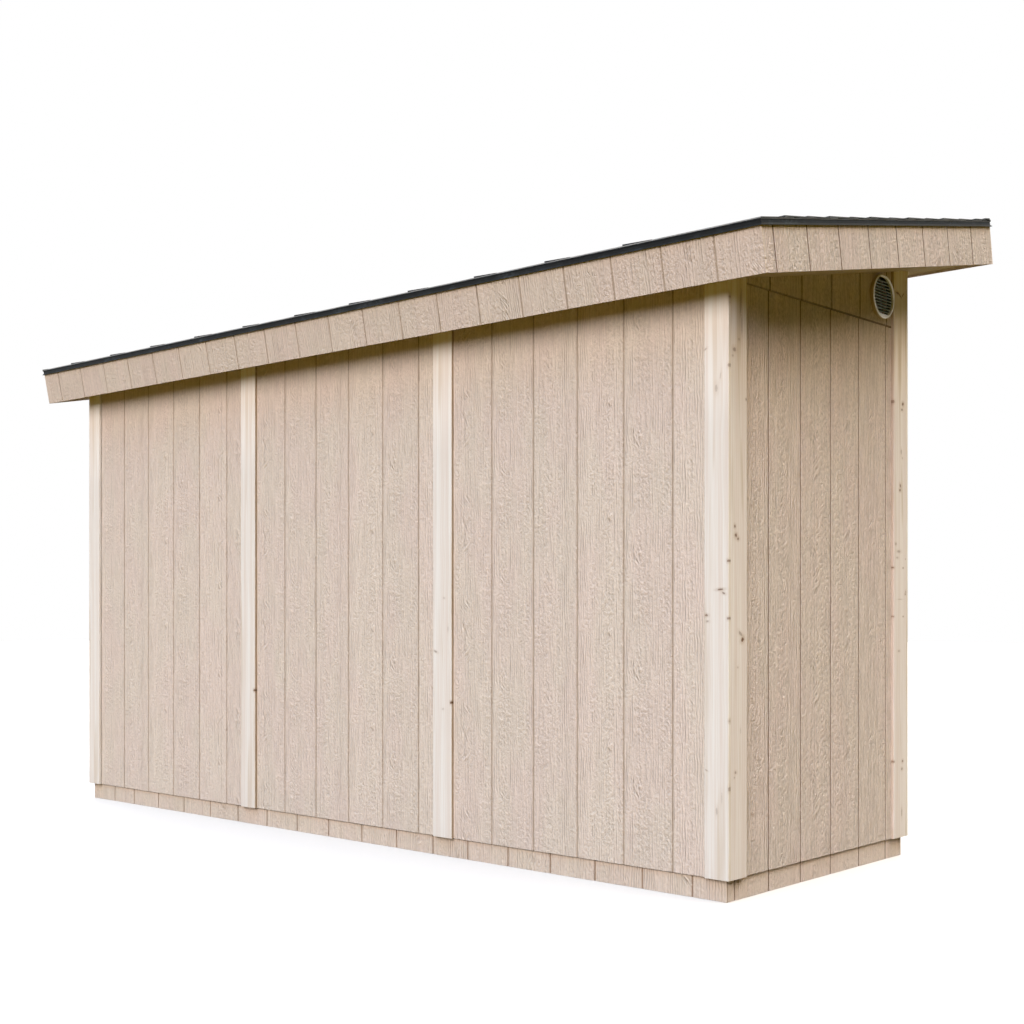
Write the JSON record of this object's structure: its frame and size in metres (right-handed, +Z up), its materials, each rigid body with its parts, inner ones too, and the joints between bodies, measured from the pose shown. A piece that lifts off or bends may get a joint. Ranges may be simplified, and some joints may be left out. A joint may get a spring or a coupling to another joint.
{
  "type": "garden shed",
  "caption": "Garden shed with a single-slope shingled roof, grooved sheet siding, pine corner boards and battens, boxed eaves and a round louvred vent high in each end wall.",
  "frame": {"origin": "on the ground under the middle of the four walls", "axes": "+Z up, +X towards the right-hand end as seen from the low long side, -Y towards the low long side"},
  "size_m": [4.1746, 1.6691, 2.4407],
  "materials": {
    "siding": "matte primer over an embossed wood grain",
    "pine_trim": "bare planed pine with small knots",
    "framing": "sawn softwood",
    "sheet_board": "pressed strand board",
    "shingle": "mineral granules on bitumen",
    "drip_metal": "satin charcoal paint",
    "vent_plastic": "matte moulded plastic"
  },
  "bodies": {
    "root": {"floor_frame": "framing", "floor_deck": "sheet_board", "front_skirt": "siding", "back_skirt": "siding", "right_skirt": "siding", "left_skirt": "siding", "front_siding_left": "siding", "front_siding_middle": "siding", "front_siding_right": "siding", "back_siding_left": "siding", "back_siding_middle": "siding", "back_siding_right": "siding", "right_end_siding": "siding", "left_end_siding": "siding", "right_gable_siding": "siding", "left_gable_siding": "siding", "front_left_corner_board": "pine_trim", "front_battens": "pine_trim", "front_right_corner_board": "pine_trim", "back_right_corner_board": "pine_trim", "back_battens": "pine_trim", "back_left_corner_board": "pine_trim", "right_end_low_board": "pine_trim", "right_end_high_board": "pine_trim", "left_end_low_board": "pine_trim", "left_end_high_board": "pine_trim", "front_wall_frame": "framing", "back_wall_frame": "framing", "right_wall_frame": "framing", "left_wall_frame": "framing", "front_fascia": "siding", "back_fascia": "siding", "right_fascia": "siding", "left_fascia": "siding", "soffit": "siding", "rafters": "framing", "roof_deck": "sheet_board", "shingles": "shingle", "front_drip_edge": "drip_metal", "back_drip_edge": "drip_metal", "right_drip_edge": "drip_metal", "left_drip_edge": "drip_metal", "right_vent": "vent_plastic", "left_vent": "vent_plastic"}
  },
  "joints": []
}
